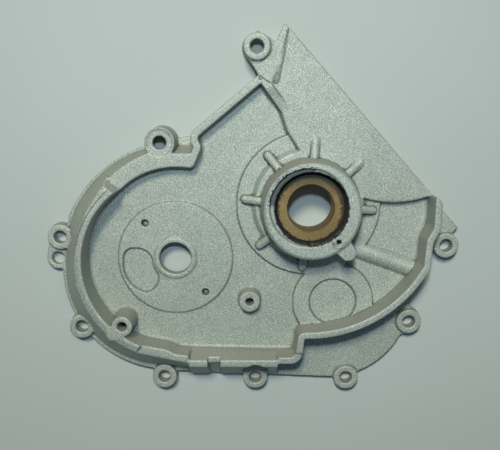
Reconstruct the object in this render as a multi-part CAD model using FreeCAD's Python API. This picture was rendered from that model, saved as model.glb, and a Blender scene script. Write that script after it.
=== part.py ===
import FreeCAD, Part
import math
import os

# Die-cast crankcase cover of a small engine, with its pressed-in main bush.
# Millimetres. The origin is on the main bore's axis, in the machined back face that bolts to the
# engine. +Z points out of the open chamber, +X to the right and +Y to the top of the cover.

# Levels above the back face
FLANGE_TOP = 4.0
LUG_TOP = 6.5
WEB_G_TOP = 10.5
LUG_G_TOP = 12.5
FLOOR_TOP = 8.0
RING_TOP = 10.0
DECK_TOP = 12.5
PUMP_FACE = 9.0
PUMP_RIM_TOP = 9.7
CUP_TOP = 10.0
CUP_FLOOR = 8.4
RIM_TOP = 22.0
UPPER_RIM_TOP = 15.5
BOTTOM_RIM_TOP = 20.6
NOTCH_TOP = 17.5
POST_TOP = 14.0
BOSS_TOP = 28.5

# Walls and general casting sizes
SKIN = 4.0
WALL = 3.5
DRAFT = 0.45
FOOT_BEVEL = 0.9
BACK_LAND = 5.0
DECK_FLARE = 1.2
STEP_RUN = 2.5
SEAM_WIDTH = 1.3
SEAM_DEPTH = 0.4
SUNK = 1.0
REACH = 40.0

# Main bore, bush and boss
BUSH_BORE_R = 11.1
BUSH_R = 16.1
BUSH_LENGTH = 12.0
BUSH_CHAMFER = 0.5
COUNTERBORE_R = 17.6
COUNTERBORE_DEPTH = 6.0
SHOULDER_R = 13.5
BOSS_CENTRE = (0.5, -1.3)
BOSS_R = 23.4
BOSS_FOOT_R = 25.6
BOSS_EDGE = 1.2
HUB_R = 24.6
LEDGE_R = 26.6
LEDGE_SLOPE = 1.8
RING_R = 36.0
SPOKE_COUNT = 8
SPOKE_FIRST_ANGLE = -50.0
RIB_WIDTH = 4.0
RIB_REACH = 34.0
RIB_INNER_TOP = 16.2
RIB_OUTER_TOP = 12.8
COLUMN_DISTANCE = 27.9
COLUMN_R = 3.8
COLUMN_FOOT_R = 5.2
COLUMN_TOP = 27.5
OIL_HOLE_R = 1.2
OIL_HOLE_DISTANCE = 20.6
OIL_HOLE_DEPTH = 6.0
SPOT_OFFSET = 1.6
SPOT_ANGLE = 148.0
SPOT_R = 18.8
SPOT_DEPTH = 1.1

# Oil pump seat
PUMP = (-67.5, -28.0)
PUMP_R = 29.0
PUMP_BORE_R = 8.2
PUMP_RIM_R = 10.4
PUMP_SCREW_R = 1.85
PUMP_SCREW_CIRCLE_R = 23.6
PUMP_SCREW_ANGLE = 130.0
PUMP_SCREW_DEPTH = 3.5
PUMP_SCREW_COUNT = 2
KIDNEY_DEPTH = 1.5

# Wall round the chamber
APEX = (-24.3, 59.3)
LEFT_WALL_R = 45.0
RIGHT_WALL_R = 63.4
BOTTOM_Y = -78.9
BOTTOM_FOOT_Y = -92.8
PAD_ENDS = ((-60.6, -51.0), (-44.6, -15.2))

# Screw lugs: all take an M6 screw
LUG_R = 6.4
LUG_FOOT_R = 7.0
HOLE_R = 3.3
SPOT_CLEARANCE = 0.4
LUG_A = (-73.4, 30.9)
LUG_B = (-126.8, -17.6)
LUG_C = (-129.0, -29.2)
LUG_C_R = 5.9
LUG_D = (-117.9, -65.6)
LUG_K = (-75.0, -93.6)
LUG_L = (-26.6, -93.9)
LUG_I = (21.8, -94.2)
LUG_J = (54.1, -63.0)
LUG_H = (71.4, -22.1)
LUG_G = (-26.0, 76.5)
LUG_A_R = 7.4
LUG_A_SPOT_R = 6.9
LUG_A_SPOT_DEPTH = 0.5
LUG_A_CORE_R = 5.0
LUG_A_CORE_TOP = 10.5
ARCH_DEPTH = -0.6
PLAIN_LUGS = (LUG_B, LUG_D, LUG_K, LUG_L, LUG_I, LUG_J, LUG_H)

# Threaded bosses inside the chamber
CORNER_BOSS = (-93.6, -60.4)
CORNER_BOSS_R = 5.2
CORNER_HOLE_R = 2.4
CORNER_HOLE_DEPTH = 14.0
POST = (-29.6, -49.8)
POST_R = 5.3
POST_HOLE_R = 2.1
POST_HOLE_DEPTH = 8.0

# Round cup in the lower right of the floor, and the oil gallery beside it
CUP = (13.3, -51.0)
CUP_R = 12.3
CUP_RING_R = 20.5
GALLERY_R = 4.7
GALLERY_AXIS_Z = 6.2
GALLERY_START = (20.0, -21.5)
GALLERY_END = (58.0, -35.2)

# The long straight edge across the upper right, and the groove beside the top lug's web
EDGE_TOP = (-12.4, 86.9)
EDGE_BOTTOM = (77.6, -13.0)
GROOVE_TOP = (-10.9, 84.0)
GROOVE_FOOT = (-17.0, 60.4)
GROOVE_TOP_R = 0.3
GROOVE_FOOT_R = 1.8
GROOVE_SINK = 1.2


def vec(point, z=0.0):
    return FreeCAD.Vector(point[0], point[1], z)


def polar(centre, radius, degrees):
    angle = math.radians(degrees)
    return (centre[0] + radius * math.cos(angle), centre[1] + radius * math.sin(angle))


def corner(before, point, after, radius):
    """The ends and the middle of the arc that rounds a corner between two straight lines."""
    here = vec(point)
    to_before = (vec(before) - here).normalize()
    to_after = (vec(after) - here).normalize()
    half = to_before.getAngle(to_after) / 2
    reach = radius / math.tan(half)
    middle = (to_before + to_after).normalize()
    start = here + to_before * reach
    end = here + to_after * reach
    via = here + middle * (radius / math.sin(half) - radius)
    return start, via, end


def outline(steps):
    """A closed wire in z = 0. A step is (x, y), (x, y, corner radius) or (arc midpoint, arc end)."""
    ends = [step[1] if isinstance(step[0], tuple) else step for step in steps]
    edges = []
    here = vec(ends[-1])
    for number, step in enumerate(steps):
        if isinstance(step[0], tuple):
            edges.append(Part.Arc(here, vec(step[0]), vec(step[1])).toShape())
            here = vec(step[1])
        elif len(step) == 3:
            start, via, end = corner(ends[number - 1], step, ends[(number + 1) % len(ends)], step[2])
            edges.append(Part.makeLine(here, start))
            edges.append(Part.Arc(start, via, end).toShape())
            here = end
        else:
            edges.append(Part.makeLine(here, vec(step)))
            here = vec(step)
    return Part.Wire(edges)


def at(wire, z):
    moved = wire.copy()
    moved.translate(FreeCAD.Vector(0, 0, z))
    return moved


def prism(wire, low, high):
    return Part.Face(at(wire, low)).extrude(FreeCAD.Vector(0, 0, high - low))


def shifted(wire, distance):
    """The same outline, moved outwards by a distance, or inwards by a negative one."""
    return wire.makeOffset2D(distance, join=1)


def disc(centre, radius, low, high):
    return Part.makeCylinder(radius, high - low, vec(centre, low))


def cone(centre, foot_radius, top_radius, low, high):
    return Part.makeCone(foot_radius, top_radius, high - low, vec(centre, low))


def upright(path, low, high, width):
    """A flat bar with round ends that follows two points."""
    start, end = vec(path[0]), vec(path[1])
    along = (end - start).normalize()
    side = FreeCAD.Vector(-along.y, along.x, 0) * (width / 2)
    bar = Part.Face(Part.makePolygon([start + side, end + side, end - side, start - side, start + side]))
    bar.translate(FreeCAD.Vector(0, 0, low))
    bar = bar.extrude(FreeCAD.Vector(0, 0, high - low))
    return bar.fuse([disc(path[0], width / 2, low, high), disc(path[1], width / 2, low, high)])


def chamber_wire():
    """Inner line of the wall at rim height, closed past the straight edge by lines outside it."""
    left_start = (-92.9, 8.6)
    left_end = (-84.0, -70.7)
    right_start = polar((0, 0), RIGHT_WALL_R, -86.0)
    right_end = polar((0, 0), RIGHT_WALL_R, -27.5)
    return outline([
        APEX,
        (-55.6, 33.4, 2.6),
        (-53.2, 28.6, 2.5),
        (-57.4, 18.9, 2.0),
        (-64.7, 19.3),
        ((-80.0, 16.7), left_start),
        (polar(PUMP, LEFT_WALL_R, 180.0), left_end),
        (-72.0, -73.0, 4.0),
        (-67.0, -75.6, 3.0),
        (-60.6, BOTTOM_Y + 2.6),
        (-6.5, BOTTOM_Y + 1.5, 2.6),
        (-5.0, -63.6, 3.5),
        right_start,
        (polar((0, 0), RIGHT_WALL_R, -55.0), right_end),
        (57.0, -16.5, 4.0),
        (60.3, -10.0, 4.0),
        (60.6, 20.0),
        (0.0, 80.0),
    ])


def flange_wire():
    """Outer line of the thin plate that the screw lugs stand on."""
    return outline([
        (-58.0, 34.0),
        (-82.2, 28.9),
        ((-108.6, 12.8), (-122.5, -6.9)),
        (-127.0, -35.6),
        ((-111.6, -74.5), (-82.1, -89.9)),
        (-67.4, -91.4),
        (13.5, -94.9),
        (26.0, -94.0),
        (29.1, -91.5),
        ((40.2, -84.6), (50.5, -71.4)),
        (60.0, -66.0),
        (53.3, -52.0),
        (54.8, -40.0),
        (0.0, -30.0),
    ])


def deck_wire(spread=0.0):
    """The raised deck between the boss and the straight edge. Its open sides move out by the spread."""
    return outline([
        (APEX[0] - spread, APEX[1]),
        (-14.3 - spread, 46.6, 6.0),
        (-11.0 - spread, 36.5, 10.0),
        (-3.0 - spread, 24.0),
        (0.0, 0.0),
        (26.0, 3.9 - spread),
        ((43.7, 1.4 - spread), (62.0, 5.3 - spread)),
        (90.0, 10.0),
        (0.0, 100.0),
        (-14.0, 84.0),
        (-17.4, 60.4),
    ])


def past_edge(inset):
    """All the room past the straight edge, from a line that lies the inset inside it."""
    along = (vec(EDGE_BOTTOM) - vec(EDGE_TOP)).normalize()
    outward = FreeCAD.Vector(-along.y, along.x, 0)
    start = vec(EDGE_TOP) - along * REACH - outward * inset
    end = vec(EDGE_BOTTOM) + along * REACH - outward * inset
    far = outward * (2 * REACH)
    room = Part.Face(Part.makePolygon([start, end, end + far, start + far, start]))
    room.translate(FreeCAD.Vector(0, 0, -REACH))
    return room.extrude(FreeCAD.Vector(0, 0, 3 * REACH))


def left_slope():
    """The coved outer side of the wall round the oil pump, from the flange's lip up to the rim."""
    foot = outline([
        PUMP,
        (-104.4, 14.8),
        (-107.3, 12.0),
        ((-121.0, -8.0), (-125.2, -30.0)),
        ((-110.5, -73.2), (-84.0, -87.6)),
        (-60.6, -90.2),
    ])
    rim = outline([
        PUMP,
        (-96.4, 14.2),
        (-98.9, 11.8),
        ((-112.0, -9.5), (-116.0, -30.0)),
        ((-106.5, -58.4), (-86.5, -74.0)),
        (-60.6, -79.6),
    ])
    return Part.makeLoft([at(foot, FLANGE_TOP - SUNK), at(rim, RIM_TOP - SEAM_DEPTH)], True, True)


def upper_slope():
    """The same cove along the lower, broad rim beside the upper lug."""
    foot = outline([
        PUMP,
        (-57.0, 29.8),
        (-80.0, 27.8),
        ((-97.0, 20.7), (-107.3, 12.0)),
    ])
    rim = outline([
        PUMP,
        (-57.0, 25.6),
        (-79.8, 25.6),
        ((-92.0, 18.9), (-101.6, 10.4)),
    ])
    return Part.makeLoft([at(foot, FLANGE_TOP - SUNK), at(rim, UPPER_RIM_TOP)], True, True)


def upper_room():
    """The room above the lower rim, from the short ramp at the left to past the apex."""
    inner, outer = (-93.0, 4.2), (-107.0, 15.4)
    along = vec((outer[1] - inner[1], inner[0] - outer[0])).normalize() * STEP_RUN
    rest = [(-112.0, 45.0), (-60.0, 100.0), (-10.0, 100.0), (-10.0, 45.0), (-60.0, 8.0)]
    high = outline([inner, outer] + rest)
    low = outline([(inner[0] + along.x, inner[1] + along.y), (outer[0] + along.x, outer[1] + along.y)] + rest)
    return Part.makeLoft([at(low, UPPER_RIM_TOP), at(high, RIM_TOP + SUNK)], True, True)


def bottom_slope(first_x, last_x, rim_y, foot_y, top):
    """A straight stretch of sloping outer wall along the bottom of the cover."""
    inner = BOTTOM_Y + WALL
    points = [(inner, SUNK), (foot_y, SUNK), (foot_y, FLANGE_TOP), (rim_y, top - SUNK / 2),
              (rim_y, top), (inner, top)]
    face = Part.Face(Part.makePolygon([FreeCAD.Vector(first_x, y, z) for y, z in points + points[:1]]))
    return face.extrude(FreeCAD.Vector(last_x - first_x, 0, 0))


def apex_ramp():
    """The rim runs down from the apex onto the deck along the deck's left edge."""
    end = vec((-13.9, 45.2))
    along = (end - vec(APEX)).normalize()
    start = vec(APEX) - along * SUNK
    side = FreeCAD.Vector(-along.y, along.x, 0)
    length = start.distanceToPoint(end)
    low = DECK_TOP - SUNK
    foot = [start, start + FreeCAD.Vector(0, 0, UPPER_RIM_TOP - low)]
    crest = start + along * (0.3 * length) + FreeCAD.Vector(0, 0, UPPER_RIM_TOP - low)
    landing = end + FreeCAD.Vector(0, 0, DECK_TOP - low)
    sag = (crest + landing) * 0.5 - FreeCAD.Vector(0, 0, 0.4)
    edges = [Part.makeLine(foot[0], foot[1]), Part.makeLine(foot[1], crest),
             Part.Arc(crest, sag, landing).toShape(), Part.makeLine(landing, end), Part.makeLine(end, foot[0])]
    face = Part.Face(Part.Wire(edges))
    face.translate(FreeCAD.Vector(0, 0, low))
    return face.extrude(side * (WALL + 0.4))


def wall_shell():
    """Floor slab, flange, wall and slopes, before the chamber is hollowed out."""
    inner = chamber_wire()
    outer = shifted(inner, WALL)
    body = prism(outer, 0.0, RIM_TOP)
    slopes = [left_slope(), prism(flange_wire(), 0.0, FLANGE_TOP)]
    for first_x, last_x in PAD_ENDS:
        slopes.append(bottom_slope(first_x, last_x, BOTTOM_Y - WALL, BOTTOM_FOOT_Y, BOTTOM_RIM_TOP))
    slopes.append(bottom_slope(PAD_ENDS[0][1], PAD_ENDS[1][0], BOTTOM_Y - 2.2, BOTTOM_FOOT_Y + 1.4, NOTCH_TOP))
    body = body.fuse(slopes).cut(upper_room()).fuse(upper_slope())
    lowered = outline([(-83.2, -69.0), (-88.5, -75.5), (-96.0, -100.0), (-1.0, -100.0), (-1.0, -74.7),
                       (-30.0, -74.7), (-40.0, -69.0)])
    body = body.cut(prism(lowered, BOTTOM_RIM_TOP, RIM_TOP + SUNK))
    notch = outline([(PAD_ENDS[0][1], -74.0), (PAD_ENDS[0][1], -98.0), (PAD_ENDS[1][0], -98.0),
                     (PAD_ENDS[1][0], -74.0)])
    body = body.cut(prism(notch, NOTCH_TOP, RIM_TOP + SUNK))
    seam_in = shifted(inner, WALL - SEAM_WIDTH)
    seam = prism(shifted(inner, WALL + SUNK), RIM_TOP - SEAM_DEPTH, RIM_TOP + SUNK)
    seam = seam.cut(prism(seam_in, RIM_TOP - SUNK, RIM_TOP + 2 * SUNK))
    seam_side = outline([(-100.0, 9.0), (-130.0, 30.0), (-130.0, -90.0), (-85.0, -90.0), (-85.0, -60.0),
                         (-100.0, -50.0), (-108.0, -28.0)])
    return body.cut(seam.common(prism(seam_side, 0.0, RIM_TOP + SUNK)))


def chamber_space():
    """The hollow of the chamber: drafted sides and a bevelled foot."""
    inner = chamber_wire()
    foot = at(shifted(inner, -DRAFT), FLOOR_TOP)
    top = at(inner, RIM_TOP + 0.01)
    space = Part.makeLoft([foot, top], True, True)
    foot_edges = [edge for edge in space.Edges if edge.BoundBox.ZMax < FLOOR_TOP + 0.001]
    return space.makeChamfer(FOOT_BEVEL, foot_edges)


def pad_recess():
    """Behind the pads the wall's inner side leans back, so the rim is set back there."""
    first_x, last_x = PAD_ENDS[0][0], PAD_ENDS[1][1]
    foot_y = -75.8
    profile = [(foot_y, FLOOR_TOP + SUNK), (foot_y, RIM_TOP + SUNK), (BOTTOM_Y - 0.6, RIM_TOP + SUNK)]
    face = Part.Face(Part.makePolygon([FreeCAD.Vector(first_x, y, z) for y, z in profile + profile[:1]]))
    return face.extrude(FreeCAD.Vector(last_x - first_x, 0, 0))


def deck():
    """The raised deck, stepped down to the floor on its two open sides."""
    foot = at(deck_wire(DECK_FLARE), FLOOR_TOP - SUNK)
    return Part.makeLoft([foot, at(deck_wire(), DECK_TOP)], True, True)


def over_deck():
    """All the room above the deck and the top lug's web, where the rim wall has no business."""
    return prism(outline([APEX, (-25.6, 63.4), (-27.5, 70.0), (-45.0, 90.0), (0.0, 120.0), (120.0, 20.0),
                          (60.75, 5.0), (0.0, 0.0)]), DECK_TOP, RIM_TOP + SUNK)


def top_lug_web():
    return prism(outline([(-24.0, 58.0), (-25.8, 64.2), (-32.3, 74.2), (-26.0, 84.0), (-18.9, 80.0),
                          (-17.2, 78.2, 0.8), (-12.4, 88.5), (-8.0, 88.0), (-10.0, 60.0)]), 0.0, WEB_G_TOP)


def over_web():
    """The room above the top lug's web, left of the groove."""
    return prism(outline([(-25.6, 63.4), (-45.0, 90.0), (-14.0, 110.0), GROOVE_TOP, GROOVE_FOOT,
                          (-20.4, 59.2)]), WEB_G_TOP, RIM_TOP + SUNK)


def side_lug_web():
    """The flat corner between the right wall, the straight edge and the right lug."""
    return prism(outline([(62.5, 8.0), (82.0, -13.5), (77.6, -13.5), (74.6, -16.6), (62.5, -24.0)]),
                 0.0, FLANGE_TOP)


def groove():
    """The tapered groove between the deck and the top lug's web."""
    start = vec(GROOVE_TOP, DECK_TOP)
    end = vec(GROOVE_FOOT, DECK_TOP - GROOVE_SINK)
    body = Part.makeCone(GROOVE_TOP_R, GROOVE_FOOT_R, start.distanceToPoint(end), start, end - start)
    return body.fuse(Part.makeSphere(GROOVE_FOOT_R, end))


def lugs():
    """The feet that take the screws, each a short drafted boss."""
    plain = [cone(centre, LUG_FOOT_R, LUG_R, 0.0, LUG_TOP) for centre in PLAIN_LUGS]
    low = disc(LUG_C, LUG_C_R, 0.0, FLANGE_TOP)
    web = upright((LUG_B, LUG_C), 0.0, FLANGE_TOP, 2 * LUG_C_R)
    top = cone(LUG_G, LUG_FOOT_R + 0.4, LUG_R + 0.1, 0.0, LUG_G_TOP)
    upper = cone(LUG_A, LUG_A_R + LUG_FOOT_R - LUG_R, LUG_A_R, 0.0, UPPER_RIM_TOP)
    return plain + [low, web, top, upper]


def spotfaces():
    """The screw seats, milled down into the slopes beside them."""
    cuts = [disc(centre, LUG_R + SPOT_CLEARANCE, LUG_TOP, RIM_TOP + SUNK) for centre in PLAIN_LUGS]
    arch = (LUG_L[0], BOTTOM_Y - WALL - LUG_R - ARCH_DEPTH)
    cuts.append(upright((LUG_L, arch), LUG_TOP, RIM_TOP + SUNK, 2 * (LUG_R + SPOT_CLEARANCE)))
    cuts.append(disc(LUG_A, LUG_A_SPOT_R, UPPER_RIM_TOP - LUG_A_SPOT_DEPTH, RIM_TOP + SUNK))
    return cuts


def screw_holes():
    holes = [disc(centre, HOLE_R, -SUNK, LUG_G_TOP + SUNK) for centre in PLAIN_LUGS + (LUG_C, LUG_G)]
    holes.append(disc(LUG_A, HOLE_R, -SUNK, RIM_TOP + SUNK))
    holes.append(disc(LUG_A, LUG_A_CORE_R, -SUNK, LUG_A_CORE_TOP))
    return holes


def boss():
    """The main boss, cast a little off the bore's axis, its rings, ribs and oil column."""
    parts = [disc((0, 0), RING_R, FLOOR_TOP - SUNK, RING_TOP),
             cone((0, 0), LEDGE_R + LEDGE_SLOPE, LEDGE_R, RING_TOP - 0.1, DECK_TOP)]
    barrel = cone(BOSS_CENTRE, BOSS_FOOT_R, BOSS_R, FLANGE_TOP, BOSS_TOP)
    crown = [edge for edge in barrel.Edges if edge.BoundBox.ZMin > BOSS_TOP - 0.001]
    parts.append(barrel.makeChamfer(BOSS_EDGE, crown))
    for number in range(SPOKE_COUNT):
        spoke = column() if number == 0 else rib()
        spoke.rotate(vec((0, 0)), FreeCAD.Vector(0, 0, 1),
                     SPOKE_FIRST_ANGLE + number * 360.0 / SPOKE_COUNT)
        parts.append(spoke)
    return parts


def rib():
    """One low rib along +X, with a sloping round back and a round end."""
    bar = upright(((BUSH_R + SUNK, 0), (RIB_REACH - RIB_WIDTH / 2, 0)), FLOOR_TOP, RIB_INNER_TOP, RIB_WIDTH)
    drop = math.atan2(RIB_INNER_TOP - RIB_OUTER_TOP, RIB_REACH - BOSS_R)
    back = Part.makeCylinder(RIB_WIDTH * 0.62, 2 * RIB_REACH)
    back.rotate(vec((0, 0)), FreeCAD.Vector(0, 1, 0), 90 + math.degrees(drop))
    back.translate(FreeCAD.Vector(BOSS_R, 0, RIB_INNER_TOP - RIB_WIDTH * 0.62))
    low = Part.makeBox(2 * RIB_REACH, 2 * RIB_WIDTH, RIB_OUTER_TOP - FLOOR_TOP - RIB_WIDTH * 0.62,
                       FreeCAD.Vector(0, -RIB_WIDTH, FLOOR_TOP))
    return bar.common(back.fuse(low))


def column():
    """The oil column along +X: a round post joined to the boss."""
    start = COUNTERBORE_R + SUNK
    neck_top = outline([(start, -COLUMN_R - SUNK), (COLUMN_DISTANCE, -COLUMN_R), (COLUMN_DISTANCE, COLUMN_R),
                        (start, COLUMN_R + SUNK)])
    neck_foot = outline([(start, -COLUMN_FOOT_R - SUNK), (COLUMN_DISTANCE, -COLUMN_FOOT_R),
                         (COLUMN_DISTANCE, COLUMN_FOOT_R), (start, COLUMN_FOOT_R + SUNK)])
    neck = Part.makeLoft([at(neck_foot, FLOOR_TOP), at(neck_top, COLUMN_TOP)], True, True)
    return cone((COLUMN_DISTANCE, 0), COLUMN_FOOT_R, COLUMN_R, FLOOR_TOP, COLUMN_TOP).fuse(neck)


def boss_cuts():
    seat = BOSS_TOP - COUNTERBORE_DEPTH - BUSH_LENGTH
    oil = polar((0, 0), OIL_HOLE_DISTANCE, SPOKE_FIRST_ANGLE)
    spot = polar((0, 0), SPOT_OFFSET, SPOT_ANGLE)
    return [disc((0, 0), SHOULDER_R, -SUNK, BOSS_TOP),
            disc((0, 0), BUSH_R, seat, BOSS_TOP),
            disc((0, 0), COUNTERBORE_R, BOSS_TOP - COUNTERBORE_DEPTH, BOSS_TOP + SUNK),
            disc(oil, OIL_HOLE_R, BOSS_TOP - OIL_HOLE_DEPTH, BOSS_TOP + SUNK),
            disc(spot, SPOT_R, BOSS_TOP - SPOT_DEPTH, BOSS_TOP + SUNK)]


def pump_seat():
    return [disc(PUMP, PUMP_R, FLOOR_TOP - SUNK, PUMP_FACE),
            disc(PUMP, PUMP_RIM_R, FLOOR_TOP - SUNK, PUMP_RIM_TOP)]


def pump_cuts():
    """Shaft bore, two tapped holes and the kidney-shaped inlet recess."""
    cuts = [disc(PUMP, PUMP_BORE_R, -SUNK, PUMP_RIM_TOP + SUNK)]
    for number in range(PUMP_SCREW_COUNT):
        angle = PUMP_SCREW_ANGLE + number * 360.0 / PUMP_SCREW_COUNT
        hole = polar(PUMP, PUMP_SCREW_CIRCLE_R, angle)
        cuts.append(disc(hole, PUMP_SCREW_R, PUMP_FACE - PUMP_SCREW_DEPTH, PUMP_FACE + SUNK))
    kidney = outline([
        ((-92.8, -24.2), (-87.6, -22.8)),
        ((-81.8, -24.6), (-79.0, -29.5)),
        ((-78.4, -33.0), (-76.6, -36.0)),
        ((-77.2, -42.6), (-83.1, -46.4)),
        ((-90.4, -42.4), (-94.4, -29.5)),
    ])
    cuts.append(prism(kidney, PUMP_FACE - KIDNEY_DEPTH, PUMP_FACE + SUNK))
    return cuts


def floor_bosses():
    """The two threaded bosses on the chamber floor."""
    wall_web = upright((CORNER_BOSS, (-98.4, -64.6)), FLOOR_TOP - SUNK, RIM_TOP, 1.3 * CORNER_BOSS_R)
    return [cone(CORNER_BOSS, CORNER_BOSS_R + 0.4, CORNER_BOSS_R, FLOOR_TOP - SUNK, RIM_TOP), wall_web,
            cone(POST, POST_R + 0.6, POST_R, FLOOR_TOP - SUNK, POST_TOP)]


def floor_boss_holes():
    return [disc(CORNER_BOSS, CORNER_HOLE_R, RIM_TOP - CORNER_HOLE_DEPTH, RIM_TOP + SUNK),
            disc(POST, POST_HOLE_R, POST_TOP - POST_HOLE_DEPTH, POST_TOP + SUNK)]


def gallery():
    """The half-round oil gallery from the column to the right wall."""
    start = vec(GALLERY_START, GALLERY_AXIS_Z)
    end = vec(GALLERY_END, GALLERY_AXIS_Z)
    tube = Part.makeCylinder(GALLERY_R, start.distanceToPoint(end), start, end - start)
    room = prism(shifted(chamber_wire(), SUNK), FLOOR_TOP - SUNK, RIM_TOP)
    return tube.common(room)


def cup():
    """The low round pad and its shallow cup, which run into the lower wall."""
    pad = disc(CUP, CUP_RING_R, FLOOR_TOP - SUNK, CUP_TOP)
    pad = pad.cut(disc((0, 0), RING_R - SUNK, FLOOR_TOP - 2 * SUNK, CUP_TOP + SUNK))
    pad = pad.cut(disc(CUP, CUP_R, CUP_FLOOR, CUP_TOP + SUNK))
    return pad.common(prism(shifted(chamber_wire(), SUNK), 0.0, RIM_TOP))


def back_recess():
    """The hollow back: the plate keeps one thickness behind the floor and the deck, and a hub."""
    room = prism(shifted(chamber_wire(), -DRAFT - FOOT_BEVEL), -SUNK, FLOOR_TOP - SKIN)
    room = room.cut(past_edge(BACK_LAND))
    under_deck = prism(deck_wire(-SKIN), -SUNK, DECK_TOP - SKIN).cut(past_edge(BACK_LAND))
    hub = disc((0, 0), HUB_R, -2 * SUNK, DECK_TOP)
    post_web = disc(POST, POST_R, -2 * SUNK, FLOOR_TOP)
    corner_web = disc(CORNER_BOSS, CORNER_BOSS_R + SKIN, -2 * SUNK, FLOOR_TOP)
    return room.fuse(under_deck).cut(hub).cut(post_web.fuse(corner_web))


def crankcase_casting():
    """One casting: the outside first, then the chamber, then what stands in it, then the holes."""
    body = wall_shell()
    body = body.cut(over_deck())
    body = body.cut(chamber_space()).cut(pad_recess())
    body = body.fuse([deck(), apex_ramp(), top_lug_web(), side_lug_web()])
    body = body.cut(over_web()).cut(groove())
    body = body.fuse(lugs())
    for cut in spotfaces():
        body = body.cut(cut)
    body = body.fuse(boss() + pump_seat() + floor_bosses() + [gallery(), cup()])
    body = body.cut(back_recess())
    for cut in boss_cuts() + pump_cuts() + floor_boss_holes() + screw_holes():
        body = body.cut(cut)
    return body.cut(past_edge(0.0)).removeSplitter()


def shaft_bush():
    """The sintered bush: a plain sleeve that is pressed in down to the shoulder."""
    seat = BOSS_TOP - COUNTERBORE_DEPTH - BUSH_LENGTH
    sleeve = disc((0, 0), BUSH_R, seat, seat + BUSH_LENGTH).cut(disc((0, 0), BUSH_BORE_R, 0.0, BOSS_TOP))
    mouths = [edge for edge in sleeve.Edges if abs(edge.Length - 2 * math.pi * BUSH_BORE_R) < 0.001]
    return sleeve.makeChamfer(BUSH_CHAMFER, mouths)


nodes = {"crankcase_casting": crankcase_casting(), "shaft_bush": shaft_bush()}
os.makedirs("parts", exist_ok=True)
for name, shape in nodes.items():
    print(name, shape.isValid(), len(shape.Solids), round(shape.Volume), shape.BoundBox)
    shape.exportStep("parts/" + name + ".step")
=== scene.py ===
# %% [markdown]
# # A die-cast crankcase half with its sintered bush
#
# The part is one aluminium casting with one bronze sleeve pressed into it. Its solids come from the
# CAD model and already have the right shape and place, so this lesson is about what the solids lack:
# soft cast edges, a blasted skin, oil grime in the bore, and the light that shows them.
#
# The first cell loads the solids. Everything is in metres, with the origin on the main bore's axis in
# the back face, +Z out of the open chamber and +Y towards the top of the picture.

import math

import bmesh
import bpy
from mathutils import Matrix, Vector, noise


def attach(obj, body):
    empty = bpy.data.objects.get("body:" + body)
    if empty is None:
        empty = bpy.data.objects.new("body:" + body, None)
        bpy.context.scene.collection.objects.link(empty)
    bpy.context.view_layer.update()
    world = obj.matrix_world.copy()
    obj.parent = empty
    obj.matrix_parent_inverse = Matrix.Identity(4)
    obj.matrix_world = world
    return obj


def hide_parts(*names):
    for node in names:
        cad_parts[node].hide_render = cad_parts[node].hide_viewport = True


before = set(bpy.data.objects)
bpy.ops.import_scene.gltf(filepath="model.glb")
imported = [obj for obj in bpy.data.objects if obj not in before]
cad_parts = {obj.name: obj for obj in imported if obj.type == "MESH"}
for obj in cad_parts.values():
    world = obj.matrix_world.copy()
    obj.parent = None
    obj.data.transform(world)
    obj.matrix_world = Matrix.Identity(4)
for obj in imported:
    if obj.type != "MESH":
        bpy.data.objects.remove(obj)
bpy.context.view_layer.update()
print("solids:", sorted(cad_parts))

# %% [markdown]
# Sizes are easier to read in millimetres, and colours as the hex values that a picture editor shows.
# Blender computes light with linear colours, so one function turns a hex value to linear. One more
# function adds a node to a material: it sets the node's values and links its inputs in one call.

# %% Small helpers
MM = 0.001


def per_mm(size):
    """The texture scale that makes one feature of a pattern about this many millimetres wide."""
    return 1.0 / (size * MM)


def colour(hex_value):
    """The linear colour of an sRGB hex value."""
    channels = [int(hex_value[i:i + 2], 16) / 255 for i in (1, 3, 5)]
    linear = [c / 12.92 if c <= 0.04045 else ((c + 0.055) / 1.055) ** 2.4 for c in channels]
    return (*linear, 1.0)


def add(tree, kind, settings=None, values=None, links=None):
    """Add one node: settings are its properties, values its constant inputs, links its sources."""
    node = tree.nodes.new(kind)
    for name, value in (settings or {}).items():
        setattr(node, name, value)
    for name, value in (values or {}).items():
        node.inputs[name].default_value = value
    for name, source in (links or {}).items():
        tree.links.new(source, node.inputs[name])
    return node


def new_material(name):
    """An empty material, its node tree, and the Object coordinates to draw patterns with."""
    material = bpy.data.materials.new(name)
    material.use_nodes = True
    tree = material.node_tree
    tree.nodes.clear()
    place = add(tree, "ShaderNodeTexCoord").outputs["Object"]
    return material, tree, place


print("a mid grey, #808080, is linear", round(colour("#808080")[0], 3))

# %% [markdown]
# ## The camera
#
# The casting lies on its back and the camera looks almost straight down at it, tilted a little, as
# someone does who holds a camera over a table. Its place and lens were worked out from two round
# mouths at different heights. The look is set up first, because every later choice is judged in it.

# %% Camera
CAMERA_PLACE = (-29.38 * MM, 47.38 * MM, 323.0 * MM)
CAMERA_TILT = -10.5     # degrees from straight down
LENS = 45.4             # mm, on a sensor 36 mm wide
SENSOR_WIDTH = 36.0     # mm
NEAREST = 0.01          # metres: nothing closer than this is drawn

camera_data = bpy.data.cameras.new("camera")
camera_data.lens = LENS
camera_data.sensor_width = SENSOR_WIDTH
camera_data.clip_start = NEAREST
camera = bpy.data.objects.new("camera", camera_data)
camera.location = CAMERA_PLACE
camera.rotation_euler = (math.radians(CAMERA_TILT), 0.0, 0.0)
bpy.context.collection.objects.link(camera)
bpy.context.scene.camera = camera
print("camera height above the back face:", round(camera.location.z / MM), "mm")

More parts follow.
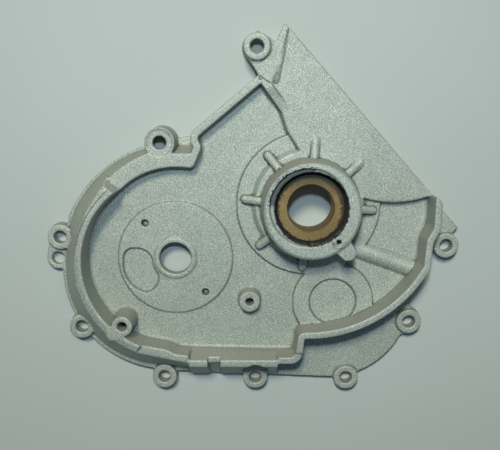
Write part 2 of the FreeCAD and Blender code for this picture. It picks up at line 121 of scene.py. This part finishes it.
# %% [markdown]
# ## The light
#
# A large warm lamp stands far beyond the top of the picture, about 56 degrees up and a little to the
# left. A small bluish one is near, at the camera's height and a hand's width beyond it, as a flash
# would be. Where only the warm lamp is hidden the shadow is a mid blue-grey, and close under a high
# edge, where both are hidden, it is nearly black. Weak bluish surroundings keep that core from going
# fully dark.

# %% Light and surroundings
LOOK_AT = Vector((-0.03, 0.0, 0.0))     # the middle of the part, in metres as the lamps' places are
WARM_PLACE = Vector((-0.15, 0.66, 1.0)).normalized() * 1.6
WARM_SIZE = 0.32        # metres across
WARM_POWER = 17.0       # watts
COOL_PLACE = Vector((-0.03, 0.122, 0.33))
COOL_SIZE = 0.025       # metres across
COOL_POWER = 0.52       # watts
SURROUNDING = 0.18      # strength of the light from all round


def disc_lamp(name, place, size, power, hex_value):
    """A round lamp that faces the middle of the part."""
    data = bpy.data.lights.new(name, "AREA")
    data.shape = "DISK"
    data.size = size
    data.energy = power
    data.color = colour(hex_value)[:3]
    lamp = bpy.data.objects.new(name, data)
    lamp.location = place
    lamp.rotation_euler = (lamp.location - LOOK_AT).to_track_quat("Z", "Y").to_euler()
    bpy.context.collection.objects.link(lamp)
    return lamp


lamps = [disc_lamp("warm", WARM_PLACE, WARM_SIZE, WARM_POWER, "#fff1dc"),
         disc_lamp("cool", COOL_PLACE, COOL_SIZE, COOL_POWER, "#d9e9fc")]

world = bpy.data.worlds.new("surroundings")
world.use_nodes = True
backdrop = world.node_tree.nodes["Background"]
backdrop.inputs["Color"].default_value = colour("#b4cbea")
backdrop.inputs["Strength"].default_value = SURROUNDING
bpy.context.scene.world = world
bpy.context.scene.view_settings.view_transform = "Standard"
print("lamps:", {lamp.name: f"{(lamp.location - LOOK_AT).length:.2f} m away" for lamp in lamps})

# %% [markdown]
# ## The floor
#
# A plain pale sheet, so that the picture is about the casting. It is not attached to the object, so it
# stays out of it. A broad noise gives its tone a trace of unevenness, and it needs nothing else.

# %% Floor
FLOOR_HALF = 1.5        # metres
FLOOR_GAP = 0.02 * MM   # keeps the sheet from flickering through the back face
SHEET_CLOUD = 160       # mm

floor_mesh = bpy.data.meshes.new("floor")
sheet = bmesh.new()
bmesh.ops.create_grid(sheet, x_segments=1, y_segments=1, size=FLOOR_HALF)
sheet.to_mesh(floor_mesh)
sheet.free()
floor = bpy.data.objects.new("floor", floor_mesh)
floor.location.z = -FLOOR_GAP
bpy.context.collection.objects.link(floor)

paper, tree, place = new_material("pale_studio_sheet")
cloud = add(tree, "ShaderNodeTexNoise", values={"Scale": per_mm(SHEET_CLOUD), "Detail": 2.0},
            links={"Vector": place})
tone = add(tree, "ShaderNodeMix", {"data_type": "RGBA"},
           {"A": colour("#aebcb6"), "B": colour("#b9c6c1")}, {"Factor": cloud.outputs["Fac"]})
surface = add(tree, "ShaderNodeBsdfPrincipled", values={"Roughness": 0.85},
              links={"Base Color": tone.outputs[2]})
add(tree, "ShaderNodeOutputMaterial", links={"Surface": surface.outputs["BSDF"]})
floor_mesh.materials.append(paper)
print("floor: a sheet", 2 * FLOOR_HALF, "m wide, left out of the object")

# %% [markdown]
# ## The casting
#
# Most edges of the solid are knife edges, and no casting has any: metal shrinks as it sets, and the
# blasting that cleans the skin also wears every corner round. Beveling the solid's edges one by one
# would fail where its many small edges meet. A voxel remesh rebuilds the whole skin as one even net
# instead, a few smoothing passes round every inner and outer corner alike, and a decimation then spends
# the triangles on the curves and saves them on the flats. The copy stands for the CAD node, which stays
# in the scene, hidden.
#
# The first cell only builds the net.

# %% Soft-edged copy of the casting
VOXEL = 0.45 * MM
MERGE = 0.002 * MM      # corners closer than this are one corner


def merged_copy(node, name):
    """A copy of a solid's mesh whose loose triangles share their corners."""
    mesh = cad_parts[node].data.copy()
    shell = bmesh.new()
    shell.from_mesh(mesh)
    bmesh.ops.remove_doubles(shell, verts=shell.verts, dist=MERGE)
    shell.to_mesh(mesh)
    shell.free()
    mesh.materials.clear()
    piece = bpy.data.objects.new(name, mesh)
    bpy.context.collection.objects.link(piece)
    return piece


def apply_modifiers(piece):
    """Bake the modifiers into the mesh, so that the export sees plain triangles."""
    evaluated = piece.evaluated_get(bpy.context.evaluated_depsgraph_get())
    baked = bpy.data.meshes.new_from_object(evaluated)
    piece.modifiers.clear()
    piece.data = baked


casting = merged_copy("crankcase_casting", "casting_skin")
remesh = casting.modifiers.new("even net", "REMESH")
remesh.mode = "VOXEL"
remesh.voxel_size = VOXEL
apply_modifiers(casting)
print("even net:", len(casting.data.polygons), "faces")

# %% [markdown]
# On the upper left of the boss a cutter ran off centre and left a torn lip, and a few nicks lie round
# the oil hole. Both are shapes, so after the smoothing a noise pushes the net's corners about there.
# How far it pushes fades out on both sides of the lip, at the ends of its sector and round the hole.
# The noise is given a seed, because Blender otherwise starts it from the clock, and the lip would be
# torn in another way in each run.

# %% Round the corners and tear the lip
ROUNDING_PASSES = 2
SMOOTHING = 0.5         # how far a pass moves a corner towards the middle of its neighbours
SCAR_CENTRE = Vector((-1.357, 0.848, 0.0)) * MM
SCAR_DIRECTION = Vector((-0.643, 0.766, 0.0))   # from the bore's axis to the middle of the scar
SECTOR_START = 0.66     # cosine of the angle from that direction, at the ends of the scar
SECTOR_FADE = 0.08
LIP_R = 19.4 * MM       # from the scar's centre to the torn lip
LIP_HALF = 1.5 * MM
OIL_HOLE = Vector((13.24, -15.78, 28.5)) * MM
NICK_REACH = 3.4 * MM
NICK_STRENGTH = 0.6     # of the lip's
BURR_SEED = 5
BURR_WIDTH = 1.2        # mm
BURR_HEIGHT = 0.9 * MM
BURR_SHIFT = 0.5 * MM
CROWN_LOW = 27.6 * MM
CROWN_HIGH = 28.8 * MM


def tear_metal(shell):
    """Push the crown's skin about where the cutter tore it: along the scar's lip and by the oil hole."""
    noise.seed_set(BURR_SEED)
    torn = 0
    for vert in shell.verts:
        if vert.co.z < CROWN_LOW:
            continue
        flat = Vector((vert.co.x, vert.co.y, 0.0))
        off_lip = abs((flat - SCAR_CENTRE).length - LIP_R)
        in_sector = min(1.0, max(0.0, (flat.normalized().dot(SCAR_DIRECTION) - SECTOR_START) / SECTOR_FADE))
        lip = in_sector * max(0.0, 1.0 - off_lip / LIP_HALF)
        nick = NICK_STRENGTH * max(0.0, 1.0 - (vert.co - OIL_HOLE).length / NICK_REACH)
        amount = max(lip, nick)
        if amount > 0.0:
            push = noise.noise_vector(vert.co * per_mm(BURR_WIDTH)) * amount
            vert.co += Vector((push.x * BURR_SHIFT, push.y * BURR_SHIFT, push.z * BURR_HEIGHT))
            vert.co.z = min(vert.co.z, CROWN_HIGH)
            torn += 1
    return torn


skin = bmesh.new()
skin.from_mesh(casting.data)
for _ in range(ROUNDING_PASSES):
    bmesh.ops.smooth_vert(skin, verts=skin.verts, factor=SMOOTHING,
                          use_axis_x=True, use_axis_y=True, use_axis_z=True)
print("corners moved where the metal is torn:", tear_metal(skin))
bmesh.ops.triangulate(skin, faces=skin.faces)
skin.to_mesh(casting.data)
dense = len(skin.faces)
skin.free()

# %% [markdown]
# An even net spends as many triangles on a flat as on a fillet. The decimation takes out those whose
# removal changes the shape least, which are the ones on the flats.

# %% Save triangles
MOST_TRIANGLES = 185000

decimate = casting.modifiers.new("save triangles", "DECIMATE")
decimate.ratio = min(1.0, MOST_TRIANGLES / dense)
apply_modifiers(casting)
casting.data.shade_smooth()
print("casting skin:", dense, "triangles, kept", len(casting.data.polygons))

# %% [markdown]
# The finish paints shade into the skin in two places: a dark line in each sharp foot, and a darker,
# browner tone on the steep walls. Each corner of the net therefore stores how hollow the skin is around
# it and how steep it stands, and the finish reads those values later.

# %% Mark the feet and the walls
CREASE_FULL = 0.16      # how far the neighbours rise above a corner's own plane in a sharp foot
SHORTEST = 0.001 * MM   # keeps an edge without length from dividing by zero


def mark_skin(mesh):
    """Store two values on each corner: how hollow the skin is there, and how steep it stands."""
    net = bmesh.new()
    net.from_mesh(mesh)
    net.normal_update()
    hollow, steep = [], []
    for vert in net.verts:
        lifts = []
        for edge in vert.link_edges:
            step = edge.other_vert(vert).co - vert.co
            lifts.append(vert.normal.dot(step) / (step.length + SHORTEST))
        hollow.append(min(1.0, max(0.0, sum(lifts) / max(1, len(lifts))) / CREASE_FULL))
        steep.append(1.0 - abs(vert.normal.z))
    net.free()
    mesh.attributes.new("crease", "FLOAT", "POINT").data.foreach_set("value", hollow)
    mesh.attributes.new("steep", "FLOAT", "POINT").data.foreach_set("value", steep)
    return sum(value > 0.5 for value in hollow)


print("hollow corners marked:", mark_skin(casting.data))
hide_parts("crankcase_casting")
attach(casting, "root")

# %% [markdown]
# ## The casting's finish
#
# The real surface is die-cast aluminium that was blasted with fine shot. Blasting leaves dimples of a
# few tenths of a millimetre, and the thin oxide on them scatters light, so the metal looks like pale
# matt stone with a faint sheen and a few glints. One fine noise makes the dimples and their speckled
# tone, two broad ones change the tone slowly across the casting, and a threshold on a fourth picks the
# odd grain that gets a painted glint, a small highlight painted into the colour. A noise is weakest on
# the flat planes of its own grid, so the fine patterns are turned: no flat face then lies in such a
# plane. On the steep walls the grain is calmer, painted shade makes them darker and browner, and no
# glint is painted there.
#
# One material is made over the next cells, and each of them adds one thing to it.

# %% Blasted aluminium: tone and grain
CLOUD = 38              # mm
STAIN = 9               # mm
GRAIN = 0.52            # mm, dimple width: drawn a little coarse so that it shows
TURN = (0.61, 0.83, 0.37)   # radians

blasted, tree, place = new_material("blasted_cast_aluminium")
turned = add(tree, "ShaderNodeMapping", values={"Rotation": TURN}, links={"Vector": place}).outputs["Vector"]
cloud = add(tree, "ShaderNodeTexNoise", values={"Scale": per_mm(CLOUD), "Detail": 3.0},
            links={"Vector": place})
stain = add(tree, "ShaderNodeTexNoise", values={"Scale": per_mm(STAIN), "Detail": 4.0},
            links={"Vector": place})
grain = add(tree, "ShaderNodeTexNoise", values={"Scale": per_mm(GRAIN), "Detail": 2.0, "Roughness": 0.6},
            links={"Vector": turned})
base = add(tree, "ShaderNodeMix", {"data_type": "RGBA"},
           {"A": colour("#a1afa2"), "B": colour("#b2beb3")}, {"Factor": cloud.outputs["Fac"]})
speckle = add(tree, "ShaderNodeMapRange",
              values={"From Min": 0.30, "From Max": 0.70, "To Min": 0.54, "To Max": 1.44},
              links={"Value": grain.outputs["Fac"]})
stained = add(tree, "ShaderNodeMapRange",
              values={"From Min": 0.35, "From Max": 0.75, "To Min": 1.03, "To Max": 0.93},
              links={"Value": stain.outputs["Fac"]})
shade = add(tree, "ShaderNodeMath", {"operation": "MULTIPLY"},
            links={0: speckle.outputs["Result"], 1: stained.outputs["Result"]})
print("nodes for tone and grain:", len(tree.nodes))

# %% [markdown]
# The steep walls get their painted shade, a darker and browner tone, from the steepness that the skin
# stores, and so does the calmer grain. The painted glints are kept to the flats by the same value.

# %% Blasted aluminium: painted wall shade and painted glints
GLINT = 0.45            # mm

steep = add(tree, "ShaderNodeAttribute", {"attribute_name": "steep"})
wall_shade_and_calm = add(tree, "ShaderNodeMapRange", values={"From Min": 0.3, "From Max": 0.85, "To Max": 0.7},
              links={"Value": steep.outputs["Fac"]})
# Painted shade: the steeper a face, the more its colour is mixed towards a darker brown-grey.
walls = add(tree, "ShaderNodeMix", {"data_type": "RGBA"}, {"B": colour("#9b9a8d")},
            {"Factor": wall_shade_and_calm.outputs["Result"], "A": base.outputs[2]})
calmed = add(tree, "ShaderNodeMix", {"data_type": "FLOAT"}, {"B": 0.96},
             {"Factor": wall_shade_and_calm.outputs["Result"], "A": shade.outputs[0]})
toned = add(tree, "ShaderNodeVectorMath", {"operation": "SCALE"},
            links={0: walls.outputs[2], "Scale": calmed.outputs["Result"]})
# Painted highlight: the odd grain on the flats is mixed towards near-white, as a glint.
glint_noise = add(tree, "ShaderNodeTexNoise", values={"Scale": per_mm(GLINT), "Detail": 0.0},
                  links={"Vector": turned})
glint = add(tree, "ShaderNodeMapRange", values={"From Min": 0.72, "From Max": 0.80},
            links={"Value": glint_noise.outputs["Fac"]})
level = add(tree, "ShaderNodeMapRange",
            values={"From Min": 0.1, "From Max": 0.4, "To Min": 1.0, "To Max": 0.0},
            links={"Value": steep.outputs["Fac"]})
painted_glint_on_flats = add(tree, "ShaderNodeMath", {"operation": "MULTIPLY"},
                     links={0: glint.outputs["Result"], 1: level.outputs["Result"]})
bright = add(tree, "ShaderNodeMix", {"data_type": "RGBA"}, {"B": colour("#f4f8f4")},
             {"Factor": painted_glint_on_flats.outputs[0], "A": toned.outputs[0]})
print("nodes for the bare metal:", len(tree.nodes))

# %% [markdown]
# Old oil has stayed in the counterbore above the bush. Its distance from the bore's axis says where
# the grime is, and a noise added to that distance makes its edge ragged. The marks after it are drawn
# in the same way from centres of their own, so two functions build those nodes.

# %% Blasted aluminium: grime in the counterbore
GRIME_EDGE = 17.95      # mm from the bore's axis where the grime ends
GRIME_LOW = 21.7        # mm above the back face where it begins
GRIME_RAGS = 2.2        # mm
GRIME_WANDER = 2.0 * MM
BORE_AXIS = Vector((0.0, 0.0, 0.0))


def distance_to(tree, place, centre):
    """How far each point is from a centre."""
    arm = add(tree, "ShaderNodeVectorMath", {"operation": "SUBTRACT"}, {1: centre}, {0: place})
    length = add(tree, "ShaderNodeVectorMath", {"operation": "LENGTH"}, links={0: arm.outputs[0]})
    return length.outputs["Value"]


def ragged(tree, distance, pattern, wander):
    """The distance with a noise added to it, so that an edge drawn by it wanders this far either way."""
    drift = add(tree, "ShaderNodeMapRange", values={"To Min": -wander, "To Max": wander},
                links={"Value": pattern.outputs["Fac"]})
    return add(tree, "ShaderNodeMath", {"operation": "ADD"}, links={0: distance, 1: drift.outputs["Result"]})


parts_of_place = add(tree, "ShaderNodeSeparateXYZ", links={"Vector": place})
flat_place = add(tree, "ShaderNodeCombineXYZ",
                 links={"X": parts_of_place.outputs["X"], "Y": parts_of_place.outputs["Y"]}).outputs[0]
rags = add(tree, "ShaderNodeTexNoise", values={"Scale": per_mm(GRIME_RAGS), "Detail": 6.0, "Roughness": 0.8},
           links={"Vector": place})
grime_distance = ragged(tree, distance_to(tree, flat_place, BORE_AXIS), rags, GRIME_WANDER)
near_bore = add(tree, "ShaderNodeMapRange",
                values={"From Min": (GRIME_EDGE + 0.4) * MM, "From Max": (GRIME_EDGE - 0.4) * MM},
                links={"Value": grime_distance.outputs[0]})
above_bush = add(tree, "ShaderNodeMapRange",
                 values={"From Min": (GRIME_LOW - 0.2) * MM, "From Max": (GRIME_LOW + 0.2) * MM},
                 links={"Value": parts_of_place.outputs["Z"]})
grime = add(tree, "ShaderNodeMath", {"operation": "MULTIPLY"},
            links={0: near_bore.outputs["Result"], 1: above_bush.outputs["Result"]})
print("grime reaches", GRIME_EDGE, "mm from the axis, above", GRIME_LOW, "mm")

# %% [markdown]
# A cutter has run off centre across the upper left of the boss. The net is already torn there. A
# colour ramp over the distance from that cut's own centre gives its milled floor, its black edge and
# the bright chips outside.

# %% Blasted aluminium: the colours across the scar
SCAR_START = 17.8       # mm from the scar's centre
SCAR_END = 21.4         # mm
SCAR_RAGS = 2.0         # mm
SCAR_WANDER = 1.9 * MM
SCAR_STOPS = [          # place on the ramp, colour, opacity
    (0.0, "#5f6c6b", 1.0),      # milled floor
    (0.17, "#697674", 1.0),
    (0.21, "#0e1211", 1.0),     # black edge
    (0.34, "#0e1211", 1.0),
    (0.37, "#e6eeea", 0.85),    # bright chips
    (0.46, "#7f8984", 0.6),
    (0.62, "#c4cec8", 0.5),
    (1.0, "#a4aea6", 0.0),      # bare metal
]

torn = add(tree, "ShaderNodeTexNoise", values={"Scale": per_mm(SCAR_RAGS), "Detail": 6.0, "Roughness": 0.75},
           links={"Vector": place})
scar_distance = ragged(tree, distance_to(tree, flat_place, SCAR_CENTRE), torn, SCAR_WANDER)
across_scar = add(tree, "ShaderNodeMapRange", values={"From Min": SCAR_START * MM, "From Max": SCAR_END * MM},
                  links={"Value": scar_distance.outputs[0]})
scar = add(tree, "ShaderNodeValToRGB", links={"Fac": across_scar.outputs["Result"]})
for place_on_ramp, _, _ in SCAR_STOPS[1:-1]:
    scar.color_ramp.elements.new(place_on_ramp)
for element, (place_on_ramp, hex_value, opacity) in zip(scar.color_ramp.elements, SCAR_STOPS):
    element.position = place_on_ramp
    element.color = (*colour(hex_value)[:3], opacity)
print("scar colours:", len(scar.color_ramp.elements), "from", SCAR_START, "to", SCAR_END, "mm")

# %% [markdown]
# The ramp alone would run round the whole boss and down its sides. It is kept to the scar's sector,
# which is the one that the lip was torn in, and to the crown.

# %% Blasted aluminium: where the scar is
CROWN_EDGE = 26.6       # mm above the back face, just under the crown's chamfer
CROWN_FULL = 26.9       # mm

outward = add(tree, "ShaderNodeVectorMath", {"operation": "NORMALIZE"}, links={0: flat_place})
toward_scar = add(tree, "ShaderNodeVectorMath", {"operation": "DOT_PRODUCT"}, {1: SCAR_DIRECTION},
                  {0: outward.outputs[0]})
in_sector = add(tree, "ShaderNodeMapRange",
                values={"From Min": SECTOR_START, "From Max": SECTOR_START + SECTOR_FADE},
                links={"Value": toward_scar.outputs["Value"]})
on_crown = add(tree, "ShaderNodeMapRange", values={"From Min": CROWN_EDGE * MM, "From Max": CROWN_FULL * MM},
               links={"Value": parts_of_place.outputs["Z"]})
scar_area = add(tree, "ShaderNodeMath", {"operation": "MULTIPLY"},
                links={0: in_sector.outputs["Result"], 1: on_crown.outputs["Result"]})
scar_amount = add(tree, "ShaderNodeMath", {"operation": "MULTIPLY"},
                  links={0: scar_area.outputs[0], 1: scar.outputs["Alpha"]})
scarred = add(tree, "ShaderNodeMix", {"data_type": "RGBA"},
              links={"Factor": scar_amount.outputs[0], "A": bright.outputs[2], "B": scar.outputs["Color"]})
print("nodes with the scar:", len(tree.nodes))

# %% [markdown]
# A fine seam runs along the left rim where two slides of the mould met. It is an arc, so it is drawn
# by the distance from that arc's centre, and kept to the top of the rim at the left. The dark nicks
# round the oil hole are the peaks of the noise that makes the scar's edge ragged.

# %% Blasted aluminium: the seam and the nicks
SEAM_CENTRE = Vector((-64.0, -31.0, 0.0)) * MM
SEAM_R = 52.2           # mm
SEAM_EDGE = 0.32        # mm from the seam's line, where its mark ends
SEAM_FULL = 0.12        # mm
SEAM_END = -93.0        # mm along X
RIM_TOP = 21.3          # mm above the back face, just under the rim's top
NICK_END = 4.2          # mm from the oil hole
NICK_FULL = 2.2         # mm

off_seam = add(tree, "ShaderNodeMath", {"operation": "SUBTRACT"}, {1: SEAM_R * MM},
               {0: distance_to(tree, flat_place, SEAM_CENTRE)})
beside_seam = add(tree, "ShaderNodeMath", {"operation": "ABSOLUTE"}, links={0: off_seam.outputs[0]})
on_seam = add(tree, "ShaderNodeMapRange",
              values={"From Min": SEAM_EDGE * MM, "From Max": SEAM_FULL * MM, "To Max": 0.75},
              links={"Value": beside_seam.outputs[0]})
on_rim = add(tree, "ShaderNodeMapRange", values={"From Min": RIM_TOP * MM, "From Max": (RIM_TOP + 0.3) * MM},
             links={"Value": parts_of_place.outputs["Z"]})
at_left = add(tree, "ShaderNodeMapRange", values={"From Min": SEAM_END * MM, "From Max": (SEAM_END - 1) * MM},
              links={"Value": parts_of_place.outputs["X"]})
rim_seam = add(tree, "ShaderNodeMath", {"operation": "MULTIPLY"},
               links={0: on_seam.outputs["Result"], 1: on_rim.outputs["Result"]})
seam = add(tree, "ShaderNodeMath", {"operation": "MULTIPLY"},
           links={0: rim_seam.outputs[0], 1: at_left.outputs["Result"]})
seamed = add(tree, "ShaderNodeMix", {"data_type": "RGBA"}, {"B": colour("#39403d")},
             {"Factor": seam.outputs[0], "A": scarred.outputs[2]})
near_hole = add(tree, "ShaderNodeMapRange", values={"From Min": NICK_END * MM, "From Max": NICK_FULL * MM},
                links={"Value": distance_to(tree, place, OIL_HOLE)})
nicked = add(tree, "ShaderNodeMapRange", values={"From Min": 0.52, "From Max": 0.58},
             links={"Value": torn.outputs["Fac"]})
nicks = add(tree, "ShaderNodeMath", {"operation": "MULTIPLY"},
            links={0: near_hole.outputs["Result"], 1: nicked.outputs["Result"]})
scratched = add(tree, "ShaderNodeMix", {"data_type": "RGBA"}, {"B": colour("#3a423f")},
                {"Factor": nicks.outputs[0], "A": seamed.outputs[2]})
print("nodes with the marks:", len(tree.nodes))

# %% [markdown]
# Last come the dark lines of painted shade in the sharp feet, then the grime, which covers everything
# and is neither metallic nor shiny. Two bumps follow: the dimples everywhere and the burrs only on the scar.

# %% Blasted aluminium: painted shade in the feet, grime and relief
DIMPLE_DEPTH = 0.10 * MM
BURR_DEPTH = 0.6 * MM

crease = add(tree, "ShaderNodeAttribute", {"attribute_name": "crease"})
# Painted shade: where the skin is hollow, its colour is mixed towards a dark grey line.
painted_crease_shade = add(tree, "ShaderNodeMapRange", values={"From Min": 0.12, "From Max": 1.0, "To Max": 0.85},
              links={"Value": crease.outputs["Fac"]})
crease_shaded = add(tree, "ShaderNodeMix", {"data_type": "RGBA"}, {"B": colour("#2c312f")},
            {"Factor": painted_crease_shade.outputs["Result"], "A": scratched.outputs[2]})
dirty = add(tree, "ShaderNodeMix", {"data_type": "RGBA"}, {"B": colour("#12120f")},
            {"Factor": grime.outputs[0], "A": crease_shaded.outputs[2]})
sheen = add(tree, "ShaderNodeMapRange", values={"To Min": 0.68, "To Max": 0.9},
            links={"Value": grime.outputs[0]})
metal = add(tree, "ShaderNodeMapRange", values={"To Min": 0.45, "To Max": 0.0},
            links={"Value": grime.outputs[0]})
dimples = add(tree, "ShaderNodeBump", values={"Strength": 0.45, "Distance": DIMPLE_DEPTH},
              links={"Height": grain.outputs["Fac"]})
burrs = add(tree, "ShaderNodeBump", values={"Distance": BURR_DEPTH},
            links={"Strength": scar_amount.outputs[0], "Height": torn.outputs["Fac"],
                   "Normal": dimples.outputs["Normal"]})
surface = add(tree, "ShaderNodeBsdfPrincipled",
              links={"Base Color": dirty.outputs[2], "Roughness": sheen.outputs["Result"],
                     "Metallic": metal.outputs["Result"], "Normal": burrs.outputs["Normal"]})
add(tree, "ShaderNodeOutputMaterial", links={"Surface": surface.outputs["BSDF"]})
print(blasted.name, "has", len(tree.nodes), "nodes")

# %% [markdown]
# ## The bush's finish
#
# A sintered bronze bush is pressed from powder, so its face is finely grained and a little darker
# than solid bronze, with oil in its pores. This cell makes the bare powder metal.

# %% Sintered bronze: the powder
POWDER_GRAIN = 0.45     # mm
PATCH = 6               # mm

bronze, tree, place = new_material("sintered_bronze")
turned = add(tree, "ShaderNodeMapping", values={"Rotation": TURN}, links={"Vector": place}).outputs["Vector"]
powder = add(tree, "ShaderNodeTexNoise", values={"Scale": per_mm(POWDER_GRAIN), "Detail": 2.0},
             links={"Vector": turned})
patch = add(tree, "ShaderNodeTexNoise", values={"Scale": per_mm(PATCH), "Detail": 3.0},
            links={"Vector": place})
base = add(tree, "ShaderNodeMix", {"data_type": "RGBA"},
           {"A": colour("#897748"), "B": colour("#b09c6c")}, {"Factor": patch.outputs["Fac"]})
speckle = add(tree, "ShaderNodeMapRange",
              values={"From Min": 0.3, "From Max": 0.7, "To Min": 0.55, "To Max": 1.25},
              links={"Value": powder.outputs["Fac"]})
toned = add(tree, "ShaderNodeVectorMath", {"operation": "SCALE"},
            links={0: base.outputs[2], "Scale": speckle.outputs["Result"]})
pores = add(tree, "ShaderNodeBump", values={"Strength": 0.5, "Distance": 0.08 * MM},
            links={"Height": powder.outputs["Fac"]})
print("nodes for the powder:", len(tree.nodes))

# %% [markdown]
# Towards the bush's edge the grime from the counterbore has spread over it in speckles, a little
# further in at the top and the right; towards the top this also paints the shade that the counterbore
# casts. Painted shade darkens the upper half of the face. Reaming closed the pores in the bore, which
# is browner. Oiled bronze is neither metallic nor shiny.

# %% Sintered bronze: oil, painted top shade and bore
BORE_EDGE = 11.6        # mm from the axis, where the reamed bore ends
OIL_EDGE = 15.0         # mm from the axis, where the speckles of old oil begin
# The lean is partly real oil and partly painted shade: the speckles reach further in at the right, and
# towards the top they also paint the counterbore's shade.
OIL_AND_SHADE_LEAN = (0.03, 0.06, 0.0)    # how much of a place's own X and Y is added to its distance
OIL_RAGS = 1.3          # mm
OIL_WANDER = 3.2 * MM
OIL_MOST = 0.9          # how fully the oil covers the metal
TOP_SHADE_START = 3.0        # mm along Y, where painted shade begins to darken the face
TOP_SHADE_FULL = 13.0        # mm

parts_of_place = add(tree, "ShaderNodeSeparateXYZ", links={"Vector": place})
flat_place = add(tree, "ShaderNodeCombineXYZ",
                 links={"X": parts_of_place.outputs["X"], "Y": parts_of_place.outputs["Y"]}).outputs[0]
distance = distance_to(tree, flat_place, BORE_AXIS)
in_bore = add(tree, "ShaderNodeMapRange",
              values={"From Min": (BORE_EDGE + 0.2) * MM, "From Max": (BORE_EDGE - 0.2) * MM},
              links={"Value": distance})
spread = add(tree, "ShaderNodeTexNoise", values={"Scale": per_mm(OIL_RAGS), "Detail": 5.0, "Roughness": 0.7},
             links={"Vector": turned})
lean = add(tree, "ShaderNodeVectorMath", {"operation": "DOT_PRODUCT"}, {1: OIL_AND_SHADE_LEAN}, {0: flat_place})
leaning = add(tree, "ShaderNodeMath", {"operation": "ADD"}, links={0: distance, 1: lean.outputs["Value"]})
oil_distance = ragged(tree, leaning.outputs[0], spread, OIL_WANDER)
oily = add(tree, "ShaderNodeMapRange",
           values={"From Min": (OIL_EDGE - 0.6) * MM, "From Max": (OIL_EDGE + 0.6) * MM, "To Max": OIL_MOST},
           links={"Value": oil_distance.outputs[0]})
oiled = add(tree, "ShaderNodeMix", {"data_type": "RGBA"}, {"B": colour("#241f16")},
            {"Factor": oily.outputs["Result"], "A": toned.outputs[0]})
# Painted shade: the upper half of the face is mixed towards a dark grey-green.
painted_top_shade = add(tree, "ShaderNodeMapRange",
           values={"From Min": TOP_SHADE_START * MM, "From Max": TOP_SHADE_FULL * MM, "To Max": 0.62},
           links={"Value": parts_of_place.outputs["Y"]})
top_shaded = add(tree, "ShaderNodeMix", {"data_type": "RGBA"}, {"B": colour("#3f4235")},
             {"Factor": painted_top_shade.outputs["Result"], "A": oiled.outputs[2]})
brown = add(tree, "ShaderNodeMix", {"data_type": "RGBA"}, {"B": colour("#8a6a34")},
            {"Factor": in_bore.outputs["Result"], "A": top_shaded.outputs[2]})
metal = add(tree, "ShaderNodeMapRange", values={"From Max": OIL_MOST, "To Min": 0.75, "To Max": 0.0},
            links={"Value": oily.outputs["Result"]})
sheen = add(tree, "ShaderNodeMapRange", values={"From Max": OIL_MOST, "To Min": 0.48, "To Max": 0.9},
            links={"Value": oily.outputs["Result"]})
surface = add(tree, "ShaderNodeBsdfPrincipled",
              links={"Base Color": brown.outputs[2], "Metallic": metal.outputs["Result"],
                     "Roughness": sheen.outputs["Result"], "Normal": pores.outputs["Normal"]})
add(tree, "ShaderNodeOutputMaterial", links={"Surface": surface.outputs["BSDF"]})
print(bronze.name, "has", len(tree.nodes), "nodes")

# %% [markdown]
# ## Putting it together
#
# The casting's finish goes on its soft-edged skin. The bush keeps the CAD solid, whose bore already has
# chamfered mouths, and only gets its finish.

# %% Put the finishes on the solids
casting.data.materials.append(blasted)
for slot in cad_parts["shaft_bush"].material_slots:
    slot.material = bronze
print("finishes:", blasted.name, "and", bronze.name)
